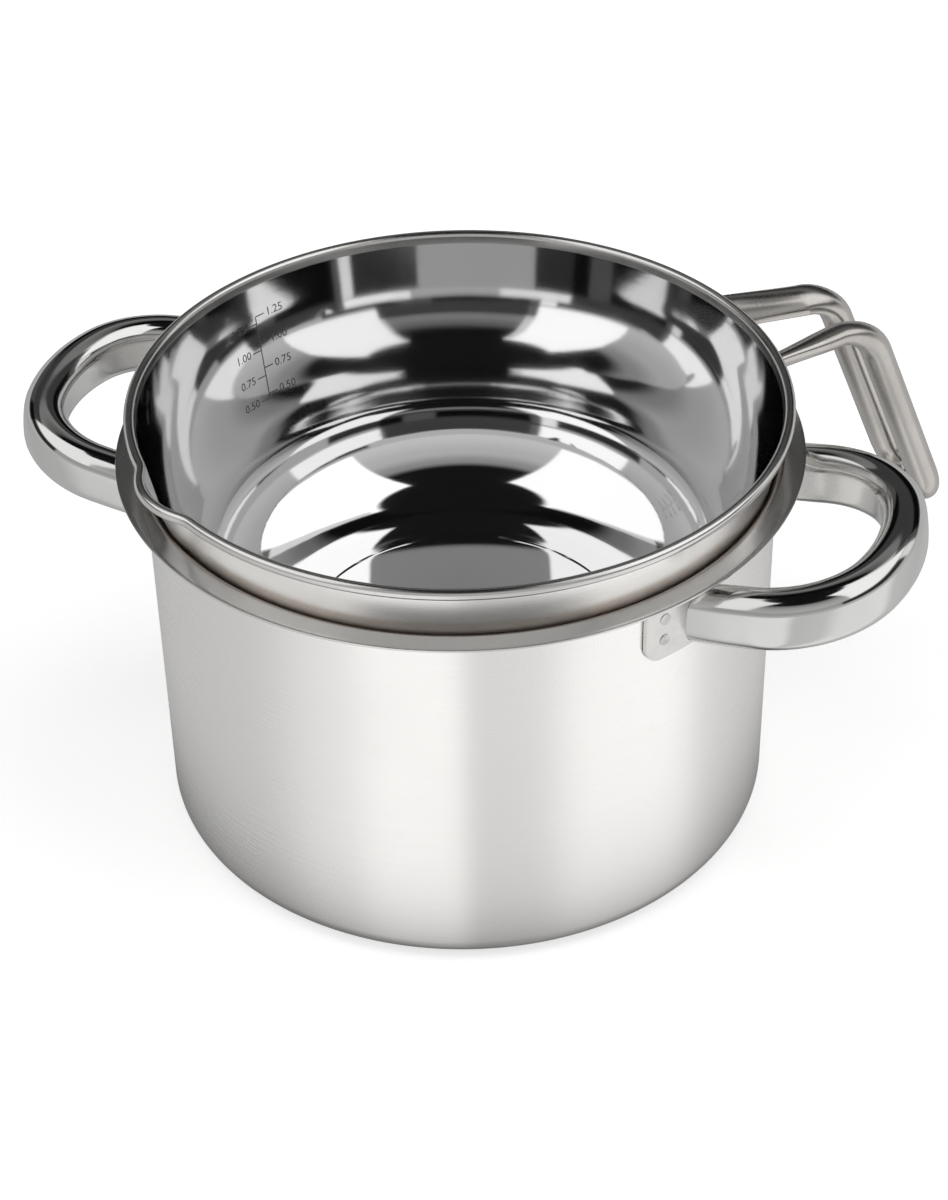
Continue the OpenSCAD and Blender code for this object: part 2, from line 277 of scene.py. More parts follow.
def legExtrude(steps, length):
    for _ in range(steps):
        bpy.ops.mesh.extrude_region_move(TRANSFORM_OT_translate={"value": (length / steps, 0, 0)})


def endAtWall(tube, legY, bendX):
    # each leg ends on the wall's round, and is pressed a little narrower just before it
    h = handle
    rise = math.radians(h["riseDeg"])
    risen = Matrix.Translation((h["wallR"], 0, h["height"])) @ Matrix.Rotation(-rise, 4, "Y")
    tube.data.transform(risen @ Matrix.Translation((-h["wallR"], 0, 0)))
    for v in tube.data.vertices:
        wallX = math.sqrt(h["wallEnd"] ** 2 - v.co.y ** 2)
        short = max(0, wallX - v.co.x)
        v.co += Vector((short, 0, short * math.tan(rise)))
    editOn(tube)
    joinUp(h["mergeDistance"])
    for v in tube.data.vertices:
        side = math.copysign(legY, v.co.y)
        wallX = math.sqrt(h["wallEnd"] ** 2 - v.co.y ** 2)
        near = max(0.0, 1 - (v.co.x - wallX) / h["flatLength"])
        if v.co.x < bendX:
            v.co.y = side + (v.co.y - side) * (1 - h["flat"] * near * near)


def makeHandle(name):
    h = handle
    gripX, bendX, bendY = pathPlaces()
    legY = bendY + h["bendR"]
    tube = startRing(name, h["sides"])
    for i, v in enumerate(bmesh.from_edit_mesh(tube.data).verts):
        y, z = tubeSection(math.tau * i / h["sides"])
        v.co = Vector((h["legStart"], -legY + y, z))
    legExtrude(h["legSteps"], bendX - h["legStart"])
    bend = math.radians(90 - h["jointDeg"])
    grip = math.radians(2 * h["jointDeg"])
    down = (0, 0, -1)
    bpy.ops.mesh.spin(steps=h["bendSteps"], angle=bend, center=(bendX, -bendY, 0), axis=down)
    bpy.ops.mesh.spin(steps=h["gripSteps"], angle=grip, center=(gripX, 0, 0), axis=down)
    bpy.ops.mesh.spin(steps=h["bendSteps"], angle=bend, center=(bendX, bendY, 0), axis=down)
    legExtrude(h["legSteps"], h["legStart"] - bendX)
    joinUp()
    endAtWall(tube, legY, bendX)
    hollowOut(tube, h["tubeWall"])
    smooth(tube)
    return tube


def makeHandles():
    right = makeHandle("potHandleRight")
    left = right.copy()
    left.data = right.data.copy()
    left.name = "potHandleLeft"
    left.data.name = "potHandleLeft"
    bpy.context.scene.collection.objects.link(left)
    left.rotation_euler.z = math.pi
    return right, left


potHandleRight, potHandleLeft = makeHandles()
print("pot handles:", len(potHandleRight.data.polygons), "faces each")


# Bowl: one sheet, drawn along its inner face with its rim rolled outwards, then pulled out into the spout

bowl = {
    "floorZ": 50 * mm,
    "rimZ": 136 * mm,
    "sheet": 0.7 * mm,
    "discR": 48.5 * mm,
    "discDrop": 0.5 * mm,
    "discSlope": 0.2 * mm,
    "cornerR": 36 * mm,
    "taperDeg": 9,
    "seatZ": 117 * mm,
    "mouthCentreR": 94.4 * mm,
    "mouthR": 3 * mm,
    "seatGap": 0.3 * mm,
    "beadR": 1.6 * mm,
    "beadSink": 0.05 * mm,
    "beadTurnDeg": 296,
    "beadHeight": 3.3 * mm,
    "beadBeyond": 0.1 * mm,
    "smoothDeg": 60,
    "floorSteps": 12,
    "cornerSteps": 36,
    "wallSteps": 26,
    "beadSteps": 22,
    "roundSteps": 360,
}

spout = {
    "angleDeg": 232,
    "radius": 23.4 * mm,
    "out": 3.8 * mm,
    "fade": 1.5 * mm,
    "fadeMargin": 2 * mm,
    "blend": 1.2 * mm,
}

taper = math.radians(bowl["taperDeg"])
seatR = bowl["mouthCentreR"] - (bowl["mouthR"] + bowl["seatGap"]) / math.cos(taper)
bowlSkin = bowl["sheet"] / math.cos(taper)
beadZ = bowl["rimZ"] - bowl["beadR"]


def wallR(z):
    return seatR + (z - bowl["seatZ"]) * math.tan(taper)


bowlCornerZ = bowl["floorZ"] + bowl["cornerR"]
bowlCornerX = wallR(bowlCornerZ) - bowl["cornerR"] / math.cos(taper)
beadX = wallR(beadZ) - bowlSkin + bowl["beadR"] / math.cos(taper) - bowl["beadSink"]
spoutX = wallR(beadZ) + spout["out"] - spout["radius"]
fadeZ = bowl["seatZ"] + spout["fade"]
spoutSlope = (spout["radius"] - (wallR(fadeZ) - spoutX)) / (beadZ - fadeZ)


def spoutPull(angle, z):
    # how far the wall is pushed out at this angle and height: a cone that stands out of the wall's own cone
    z = min(z, beadZ)
    radius = spout["radius"] - (beadZ - z) * spoutSlope
    turn = math.remainder(angle - math.radians(spout["angleDeg"]), math.tau)
    across = spoutX * math.sin(turn)
    if radius <= abs(across) or abs(turn) > math.pi / 2:
        return 0.0
    extra = spoutX * math.cos(turn) + math.sqrt(radius ** 2 - across ** 2) - wallR(z)
    # the edge between the two cones is rounded where they lie closer than the blend
    soft = max(spout["blend"] - abs(extra), 0) / spout["blend"]
    return max(extra, 0) + soft * soft * spout["blend"] / 4


def makeBowl():
    b = bowl
    floorZ = b["floorZ"] + b["sheet"]
    shell = startLine("bowlShell", 0, floorZ - b["discDrop"])
    lineTo(shell, b["discR"], floorZ - b["discDrop"], b["floorSteps"])
    lineTo(shell, b["discR"] + b["discSlope"], floorZ)
    lineTo(shell, bowlCornerX, floorZ)
    arcOn(bowlCornerX, bowlCornerZ, -(90 - b["taperDeg"]), b["cornerSteps"])
    beadStartX = beadX - b["beadR"] * math.cos(taper)
    beadStartZ = beadZ + b["beadR"] * math.sin(taper)
    lineTo(shell, beadStartX, beadStartZ, b["wallSteps"])
    arcOn(beadX, beadZ, b["beadTurnDeg"], b["beadSteps"])
    spinRound(b["roundSteps"])
    for v in shell.data.vertices:
        radius = math.hypot(v.co.x, v.co.y)
        if v.co.z > fadeZ - spout["fadeMargin"] and radius > 0:
            rolled = radius > wallR(v.co.z) + b["beadBeyond"]
            pull = spoutPull(math.atan2(v.co.y, v.co.x), beadZ if rolled else v.co.z)
            v.co.x *= 1 + pull / radius
            v.co.y *= 1 + pull / radius
    giveThickness(shell, b["sheet"])
    smooth(shell, b["smoothDeg"])
    return shell


bowlShell = makeBowl()
print("bowl shell:", len(bowlShell.data.polygons), "faces")


# Bowl handle: half of a loop of tube, flattened where it leaves the bowl, then mirrored

loop = {
    "angleDeg": 47,
    "armDrop": 8 * mm,
    "armGap": 33 * mm,
    "hangGap": 22.5 * mm,
    "reach": 42 * mm,
    "hangLength": 56 * mm,
    "leanDeg": 23,
    "elbowR": 15 * mm,
    "width": 11 * mm,
    "armThickness": 5 * mm,
    "hangThickness": 9.2 * mm,
    "tiltDeg": 40,
    "elbowShare": 0.45,
    "wall": 1 * mm,
    "rootGap": 1.7 * mm,
    "sides": 40,
    "armSteps": 16,
    "elbowSteps": 24,
    "legSteps": 14,
    "endSteps": 20,
    "mergeDistance": 0.05 * mm,
}

armZ = bowl["rimZ"] - loop["armDrop"]
armEndR = wallR(armZ) + loop["rootGap"]


def ease(f):
    return f * f * (3 - 2 * f)


def shares(steps, first=1):
    return [i / steps for i in range(first, steps + 1)]


def loopStations():
    # half of the loop from the bowl to the lowest point: each station has a centre, the two directions of
    # its section, and a share that goes from 0 at the flattened end to 1 at the legs
    k = loop
    armY, legY = k["armGap"] / 2, k["hangGap"] / 2
    armX = math.sqrt(armEndR ** 2 - armY ** 2)
    elbowX = wallR(bowl["rimZ"]) + k["reach"] - k["elbowR"]
    yaw = math.atan2(armY - legY, elbowX - armX)
    lean = math.radians(k["leanDeg"])
    legDown = Vector((math.sin(lean), 0, -math.cos(lean)))
    legOut = Vector((math.cos(lean), 0, math.sin(lean)))
    across, up = Vector((0, 1, 0)), Vector((0, 0, 1))
    stations = []
    for f in shares(k["armSteps"], first=0):
        centre = Vector((armX + (elbowX - armX) * f, armY + (legY - armY) * f, armZ))
        out = Vector((math.sin(yaw), math.cos(yaw), 0)) * (1 - f) + across * f
        stations.append((centre, out.normalized(), up, k["elbowShare"] * ease(f)))
    for f in shares(k["elbowSteps"]):
        a = (math.pi / 2 - lean) * f
        centre = Vector((elbowX + k["elbowR"] * math.sin(a), legY, armZ - k["elbowR"] * (1 - math.cos(a))))
        share = k["elbowShare"] + (1 - k["elbowShare"]) * ease(f)
        stations.append((centre, across, Vector((math.sin(a), 0, math.cos(a))), share))
    legTop = stations[-1][0]
    for f in shares(k["legSteps"]):
        stations.append((legTop + legDown * k["hangLength"] * f, across, legOut, 1))
    endCentre = stations[-1][0] - across * legY
    for f in shares(k["endSteps"]):
        a = math.pi / 2 * f
        out = across * math.cos(a) + legDown * math.sin(a)
        stations.append((endCentre + out * legY, out, legOut, 1))
    return stations


def placeRing(ring, centre, out, up, share):
    k = loop
    thickness = k["armThickness"] + (k["hangThickness"] - k["armThickness"]) * share
    tilt = math.radians(k["tiltDeg"]) * (1 - share)
    wide = out * math.cos(tilt) + up * math.sin(tilt)
    thin = up * math.cos(tilt) - out * math.sin(tilt)
    for i, v in enumerate(ring):
        a = math.tau * i / k["sides"]
        v.co = centre + wide * math.cos(a) * k["width"] / 2 + thin * math.sin(a) * thickness / 2


def makeLoop():
    tube = startRing("bowlHandle", loop["sides"])
    for i, station in enumerate(loopStations()):
        if i:
            bpy.ops.mesh.extrude_region_move()
        ring = [v for v in bmesh.from_edit_mesh(tube.data).verts if v.select]
        placeRing(ring, *station)
        if i == 0:
            for v in ring:
                radius = armEndR + (v.co.z - armZ) * math.tan(taper)
                v.co.x = math.sqrt(radius * radius - v.co.y ** 2)
    editOff()
    half = tube.modifiers.new("half", "MIRROR")
    half.use_axis = (False, True, False)
    half.use_mirror_merge = True
    half.merge_threshold = loop["mergeDistance"]
    finishModifier(tube, half)
    editOn(tube)
    bpy.ops.mesh.select_all(action="SELECT")
    bpy.ops.mesh.normals_make_consistent(inside=False)
    editOff()
    hollowOut(tube, loop["wall"])
    smooth(tube)
    tube.rotation_euler.z = math.radians(loop["angleDeg"])
    return tube


bowlHandle = makeLoop()
print("bowl handle:", len(bowlHandle.data.polygons), "faces")


# Scale inside the bowl: a line down the wall with plain numbers on both sides, each a thin raised mark

marks = {
    "angleDeg": 156,
    "numberHeight": 2.6 * mm,
    "heightOfSize": 0.7,
    "curveSteps": 3,
    "lineWidth": 0.35 * mm,
    "tick": 3.4 * mm,
    "gap": 0.8 * mm,
    "proud": 0.05 * mm,
    "mergeDistance": 0.001 * mm,
    "right": ((13, "1.25"), (21.9, "1.00"), (30.3, "0.75"), (39.1, "0.50")),
    "left": ((15.3, "1.25"), (24.3, "1.00"), (32.9, "0.75"), (40.6, "0.50")),
}


def bar(left, right, low, high):
    middle = ((left + right) / 2, (low + high) / 2, 0)
    piece = startPiece("bar", bpy.ops.mesh.primitive_cube_add, size=1, location=middle)
    piece.scale = (right - left, high - low, 2 * marks["proud"])
    return piece


def plainNumber(words, x, y, align):
    bpy.ops.object.select_all(action="DESELECT")
    bpy.ops.object.text_add(location=(x, y, 0))
    piece = bpy.context.active_object
    piece.data.body = words
    piece.data.size = marks["numberHeight"] / marks["heightOfSize"]
    piece.data.extrude = marks["proud"]
    piece.data.resolution_u = marks["curveSteps"]
    piece.data.align_x = align
    piece.data.align_y = "CENTER"
    bpy.ops.object.convert(target="MESH")
    return piece


def makeMarks():
    # drawn flat, with X to the reader's right and Y up the slope, then laid on the inner wall
    m = marks
    half = m["lineWidth"] / 2
    depths = [depth * mm for depth, words in m["right"] + m["left"]]
    pieces = [bar(-half, half, -max(depths), -min(depths))]
    for side, align, rows in ((1, "LEFT", m["right"]), (-1, "RIGHT", m["left"])):
        for depth, words in rows:
            y = -depth * mm
            ends = sorted((side * half, side * m["tick"]))
            pieces.append(bar(*ends, y - half, y + half))
            pieces.append(plainNumber(words, side * (m["tick"] + m["gap"]), y, align))
    selectOnly(*pieces)
    bpy.ops.object.transform_apply(location=True, rotation=True, scale=True)
    bpy.ops.object.join()
    scale = bpy.context.active_object
    scale.name = "scaleMarks"
    scale.data.name = "scaleMarks"
    for v in scale.data.vertices:
        z = bowl["rimZ"] + v.co.y
        radius = wallR(z) - bowlSkin - v.co.z
        angle = math.radians(m["angleDeg"]) - v.co.x / radius
        v.co = (radius * math.cos(angle), radius * math.sin(angle), z)
    editOn(scale)
    joinUp(m["mergeDistance"])
    return scale


scaleMarks = makeMarks()
print("scale marks:", len(scaleMarks.data.polygons), "faces")

finishPiece(scaleMarks, "bowl", "bowl_steel")
finishPiece(potShell, "pot", "pot_steel", "pot_body")
finishPiece(potHandleRight, "pot", "polished_tube", "pot_handle_right")
finishPiece(potHandleLeft, "pot", "polished_tube", "pot_handle_left")
finishPiece(bowlShell, "bowl", "bowl_steel", "bowl_body")
finishPiece(bowlHandle, "bowl", "satin_tube", "bowl_handle")


# Shader helpers

def put(tree, socket, value):
    # a number or colour is set on the socket, another node's output is linked to it
    if isinstance(value, bpy.types.NodeSocket):
        tree.links.new(value, socket)
    else:
        socket.default_value = value


def calc(tree, operation, *values):
    node = tree.nodes.new("ShaderNodeMath")
    node.operation = operation
    for socket, value in zip(node.inputs, values):
        put(tree, socket, value)
    return node.outputs[0]


def times(tree, *factors):
    product = factors[0]
    for factor in factors[1:]:
        product = calc(tree, "MULTIPLY", product, factor)
    return product


def addAll(tree, values):
    total = values[0]
    for value in values[1:]:
        total = calc(tree, "ADD", total, value)
    return total


def fade(tree, value, low, high):
    # goes softly from 0 to 1 while value goes from low to high
    node = tree.nodes.new("ShaderNodeMapRange")
    node.interpolation_type = "SMOOTHSTEP"
    for socket, number in zip(node.inputs, (value, low, high)):
        put(tree, socket, number)
    return node.outputs[0]


def levels(tree, value, stops):
    # a grey ramp over value, whose stops are (value, level) pairs in rising order
    first, last = stops[0][0], stops[-1][0]
    node = tree.nodes.new("ShaderNodeValToRGB")
    node.color_ramp.interpolation = "EASE"
    elements = node.color_ramp.elements
    while len(elements) < len(stops):
        elements.new(1)
    for element, (place, level) in zip(elements, stops):
        element.position = (place - first) / (last - first)
        element.color = (level, level, level, 1)
    share = calc(tree, "DIVIDE", calc(tree, "SUBTRACT", value, first), last - first)
    tree.links.new(share, node.inputs[0])
    return node.outputs[0]


def mixed(tree, share, a, b):
    node = tree.nodes.new("ShaderNodeMix")
    node.data_type = "FLOAT"
    for name, value in (("Factor", share), ("A", a), ("B", b)):
        put(tree, node.inputs[name], value)
    return node.outputs["Result"]


def objectPlace(tree):
    return tree.nodes.new("ShaderNodeTexCoord").outputs["Object"]


def splitAxes(tree, vector):
    axes = tree.nodes.new("ShaderNodeSeparateXYZ")
    put(tree, axes.inputs[0], vector)
    return axes.outputs


def axisDistance(tree, vector):
    # distance from the Z axis
    x, y, z = splitAxes(tree, vector)
    return calc(tree, "SQRT", calc(tree, "ADD", times(tree, x, x), times(tree, y, y)))


def startGroup(name, inputs, output):
    group = bpy.data.node_groups.new(name, "ShaderNodeTree")
    for title in inputs:
        group.interface.new_socket(title, in_out="INPUT", socket_type="NodeSocketFloat")
    group.interface.new_socket(output, in_out="OUTPUT", socket_type="NodeSocketFloat")
    given = group.nodes.new("NodeGroupInput").outputs
    result = group.nodes.new("NodeGroupOutput").inputs[output]
    return group, given, result


def useGroup(tree, group, settings):
    node = tree.nodes.new("ShaderNodeGroup")
    node.node_tree = group
    for name, value in settings.items():
        put(tree, node.inputs[name], value)
    return node.outputs[0]


# Floor: white paper. In reflections it is clear and shows the studio's light below it, with a painted contact
# shadow that darkens it near the pot

floor = {
    "size": 8,
    "color": (0.8, 0.8, 0.8, 1),
    "roughness": 0.3,
    "glow": 0.55,
    # painted shadow: how much light the floor lets through in reflections, by distance in mm from the pot's
    # axis
    "nearShadowLevels": ((92, 0.3), (105, 0.62), (118, 0.88), (140, 1)),
}


def makeFloor():
    ground = startPiece("floor", bpy.ops.mesh.primitive_plane_add, size=floor["size"], location=(0, 0, 0))
    paper = bpy.data.materials.new("paper")
    paper.use_nodes = True
    tree = paper.node_tree
    skin = tree.nodes["Principled BSDF"]
    skin.inputs["Base Color"].default_value = floor["color"]
    skin.inputs["Roughness"].default_value = floor["roughness"]
    skin.inputs["Emission Color"].default_value = (1, 1, 1, 1)
    ray = tree.nodes.new("ShaderNodeLightPath")
    put(tree, skin.inputs["Emission Strength"], times(tree, ray.outputs["Is Camera Ray"], floor["glow"]))
    radiusInMm = times(tree, axisDistance(tree, objectPlace(tree)), 1 / mm)
    # painted shadow: for reflection rays the floor is a veil that lets less light through near the pot, a
    # fixed contact shadow by distance from the axis
    paintedShadowVeil = tree.nodes.new("ShaderNodeBsdfTransparent")
    put(tree, paintedShadowVeil.inputs["Color"], levels(tree, radiusInMm, floor["nearShadowLevels"]))
    either = tree.nodes.new("ShaderNodeMixShader")
    put(tree, either.inputs[0], ray.outputs["Is Glossy Ray"])
    put(tree, either.inputs[1], skin.outputs[0])
    put(tree, either.inputs[2], paintedShadowVeil.outputs[0])
    put(tree, tree.nodes["Material Output"].inputs["Surface"], either.outputs[0])
    ground.data.materials.append(paper)


makeFloor()


# The studio round the object, as the world: directions are measured from the camera's side, in degrees

studio = {
    "strength": 0.8,
    "horizon": (-1, 0),
    "sideFade": 1.5,
    "edgeFade": 1,
    "ceiling": (
        (0, 0.8), (9, 0.8), (13, 0.04), (23, 0.04), (27, 0.75),
        (44, 0.6), (54, 0.35), (60, 0.01), (90, 0.01),
    ),
    "floorRound": (
        (-180, 0.5), (-130, 0.7), (-85, 0.78), (-50, 1.1), (-30, 1.38), (-6, 1.38), (4, 0.94), (24, 0.98),
        (46, 1.32), (84, 1.38), (100, 0.95), (130, 0.8), (180, 0.5),
    ),
    "softBoxes": (
        {"Middle": 88, "Half Width": 40, "Lowest": 27, "Highest": 72, "Strength": 1.7},
        {"Middle": -84, "Half Width": 40, "Lowest": 27, "Highest": 72, "Strength": 1.5},
        {"Middle": 118, "Half Width": 10, "Lowest": 8, "Highest": 26, "Strength": 1.3},
        {"Middle": -150, "Half Width": 12, "Lowest": 8, "Highest": 26, "Strength": 1.2},
        {"Middle": -20, "Half Width": 60, "Lowest": 10, "Highest": 28, "Strength": 0.6},
    ),
    "shades": (
        {"Middle": 180, "Half Width": 60, "Lowest": 40, "Highest": 70, "Strength": 0.45},
        {"Middle": 180, "Half Width": 60, "Lowest": 8, "Highest": 40, "Strength": 0.9},
    ),
}


def softBoxGroup():
    # a box of light: its middle and half width are azimuths, its lowest and highest edge elevations
    inputs = ("Azimuth", "Elevation", "Middle", "Half Width", "Lowest", "Highest", "Strength")
    group, given, result = startGroup("softBox", inputs, "Light")

    def inside(high, low, soft):
        return fade(group, calc(group, "SUBTRACT", high, low), -soft, soft)

    away = calc(group, "PINGPONG", calc(group, "SUBTRACT", given["Azimuth"], given["Middle"]), 180)
    across = inside(given["Half Width"], away, studio["sideFade"])
    above = inside(given["Elevation"], given["Lowest"], studio["edgeFade"])
    below = inside(given["Highest"], given["Elevation"], studio["edgeFade"])
    put(group, result, times(group, across, above, below, given["Strength"]))
    return group


def makeStudio():
    world = bpy.data.worlds.new("studio")
    bpy.context.scene.world = world
    world.use_nodes = True
    tree = world.node_tree
    tree.nodes.clear()
    where = tree.nodes.new("ShaderNodeTexCoord")
    turned = tree.nodes.new("ShaderNodeMapping")
    turned.inputs["Rotation"].default_value = (0, 0, -math.radians(camera["turnDeg"]))
    put(tree, turned.inputs["Vector"], where.outputs["Generated"])
    x, y, z = splitAxes(tree, turned.outputs[0])
    azimuth = calc(tree, "DEGREES", calc(tree, "ARCTAN2", x, times(tree, y, -1)))
    elevation = calc(tree, "DEGREES", calc(tree, "ARCSINE", z))
    light = levels(tree, elevation, studio["ceiling"])
    box = softBoxGroup()

    def boxShare(settings):
        return useGroup(tree, box, {"Azimuth": azimuth, "Elevation": elevation, **settings})

    for settings in studio["softBoxes"]:
        light = calc(tree, "MAXIMUM", light, boxShare(settings))
    for settings in studio["shades"]:
        light = times(tree, light, calc(tree, "SUBTRACT", 1, boxShare(settings)))
    below = levels(tree, azimuth, studio["floorRound"])
    light = mixed(tree, fade(tree, elevation, *studio["horizon"]), below, light)
    light = times(tree, light, studio["strength"])
    ray = tree.nodes.new("ShaderNodeLightPath")
    shine = tree.nodes.new("ShaderNodeBackground")
    shine.inputs["Color"].default_value = (1, 1, 1, 1)
    put(tree, shine.inputs["Strength"], mixed(tree, ray.outputs["Is Camera Ray"], light, 1))
    out = tree.nodes.new("ShaderNodeOutputWorld")
    put(tree, out.inputs["Surface"], shine.outputs[0])


makeStudio()

lamp = {
    "place": (0.1, 0.1, 1.6),
    "size": 1.4,
    "watts": 6,
}


def makeLamp():
    bpy.ops.object.light_add(type="AREA", location=lamp["place"])
    light = bpy.context.active_object
    light.name = "overhead"
    light.data.shape = "DISK"
    light.data.size = lamp["size"]
    light.data.energy = lamp["watts"]
    light.visible_glossy = False


makeLamp()
print("floor, studio and lamp done")


# Finishes

streaks = {"wideScale": 0.23, "wideDetail": 1, "fineShare": 0.65, "wideShare": 0.35}
clouds = {"detail": 4, "low": 0.35, "high": 0.75}
spots = {"fineness": 9, "detail": 2, "low": 0.62, "high": 0.74, "share": 0.4}
ringDetail = 2
waveDetail = 1
noiseMiddle = 0.5
quarterTurn = 0.25


def noise(tree, vector, scale, detail=3):
    node = tree.nodes.new("ShaderNodeTexNoise")
    put(tree, node.inputs["Vector"], vector)
    put(tree, node.inputs["Scale"], scale)
    node.inputs["Detail"].default_value = detail
    return node.outputs["Fac"]


def stretched(tree, vector, sideways, upright):
    scales = tree.nodes.new("ShaderNodeCombineXYZ")
    for socket, value in zip(scales.inputs, (sideways, sideways, upright)):
        put(tree, socket, value)
    node = tree.nodes.new("ShaderNodeVectorMath")
    node.operation = "MULTIPLY"
    put(tree, node.inputs[0], vector)
    put(tree, node.inputs[1], scales.outputs[0])
    return node.outputs[0]


def brushingGroup():
    # long fine lines, level where Upright is the larger number and upright where Sideways is
    group, given, result = startGroup("brushing", ("Sideways", "Upright", "Contrast"), "Streak")
    along = stretched(group, objectPlace(group), given["Sideways"], given["Upright"])
    fine = times(group, noise(group, along, 1), streaks["fineShare"])
    wide = noise(group, along, streaks["wideScale"], streaks["wideDetail"])
    both = calc(group, "ADD", fine, times(group, wide, streaks["wideShare"]))
    put(group, result, times(group, calc(group, "SUBTRACT", both, noiseMiddle), given["Contrast"]))
    return group


def wearGroup():
    # soft clouds of handling marks, with a few sharper spots in them
    group, given, result = startGroup("wear", ("Size", "Contrast"), "Wear")
    where = objectPlace(group)
    soft = noise(group, where, calc(group, "DIVIDE", 1, given["Size"]), clouds["detail"])
    sharp = noise(group, where, calc(group, "DIVIDE", spots["fineness"], given["Size"]), spots["detail"])
    spotty = times(group, fade(group, sharp, spots["low"], spots["high"]), spots["share"])
    both = calc(group, "ADD", fade(group, soft, clouds["low"], clouds["high"]), spotty)
    put(group, result, times(group, both, given["Contrast"]))
    return group


def spunGroup():
    # rings of the spinning lathe round the Z axis
    group, given, result = startGroup("spunRings", ("Pitch", "Contrast"), "Ring")
    turns = group.nodes.new("ShaderNodeCombineXYZ")
    radius = axisDistance(group, objectPlace(group))
    put(group, turns.inputs[0], calc(group, "DIVIDE", radius, given["Pitch"]))
    rings = noise(group, turns.outputs[0], 1, ringDetail)
    put(group, result, times(group, calc(group, "SUBTRACT", rings, noiseMiddle), given["Contrast"]))
    return group


def waveGroup():
    # the slight unevenness of a polished sheet or a bent tube
    group, given, result = startGroup("polishWaves", ("Length", "Contrast"), "Wave")
    waves = noise(group, objectPlace(group), calc(group, "DIVIDE", 1, given["Length"]), waveDetail)
    put(group, result, times(group, waves, given["Contrast"]))
    return group


brushing, wear, spunRings, polishWaves = brushingGroup(), wearGroup(), spunGroup(), waveGroup()


def metal(name, look):
    # brush, rings and wear change the roughness and the colour; brush, rings and waves make the relief
    finish = bpy.data.materials.new(name)
    finish.use_nodes = True
    tree = finish.node_tree
    skin = tree.nodes["Principled BSDF"]
    skin.inputs["Metallic"].default_value = 1
    lines = [
        useGroup(tree, group, look[part])
        for part, group in (("brush", brushing), ("rings", spunRings)) if part in look
    ]
    worn = useGroup(tree, wear, look["wear"])
    shade = tree.nodes.new("ShaderNodeMix")
    shade.data_type = "RGBA"
    shade.inputs["A"].default_value = (*look["color"], 1)
    shade.inputs["B"].default_value = (*look["dark"], 1)
    marked = addAll(tree, [worn] + lines)
    put(tree, shade.inputs["Factor"], times(tree, marked, look["tone"]))
    put(tree, skin.inputs["Base Color"], shade.outputs["Result"])
    dull = times(tree, marked, look["dullness"])
    put(tree, skin.inputs["Roughness"], calc(tree, "ADD", dull, look["roughness"]))
    if "relief" in look:
        relief = list(lines)
        if "waves" in look:
            relief.append(useGroup(tree, polishWaves, look["waves"]))
        bump = tree.nodes.new("ShaderNodeBump")
        bump.inputs["Distance"].default_value = look["relief"]
        put(tree, bump.inputs["Height"], addAll(tree, relief))
        put(tree, skin.inputs["Normal"], bump.outputs[0])
    if "anisotropic" in look:
        skin.inputs["Anisotropic"].default_value = look["anisotropic"]
        skin.inputs["Anisotropic Rotation"].default_value = quarterTurn
        along = tree.nodes.new("ShaderNodeTangent")
        along.direction_type = "RADIAL"
        along.axis = "Z"
        put(tree, skin.inputs["Tangent"], along.outputs[0])
    return finish


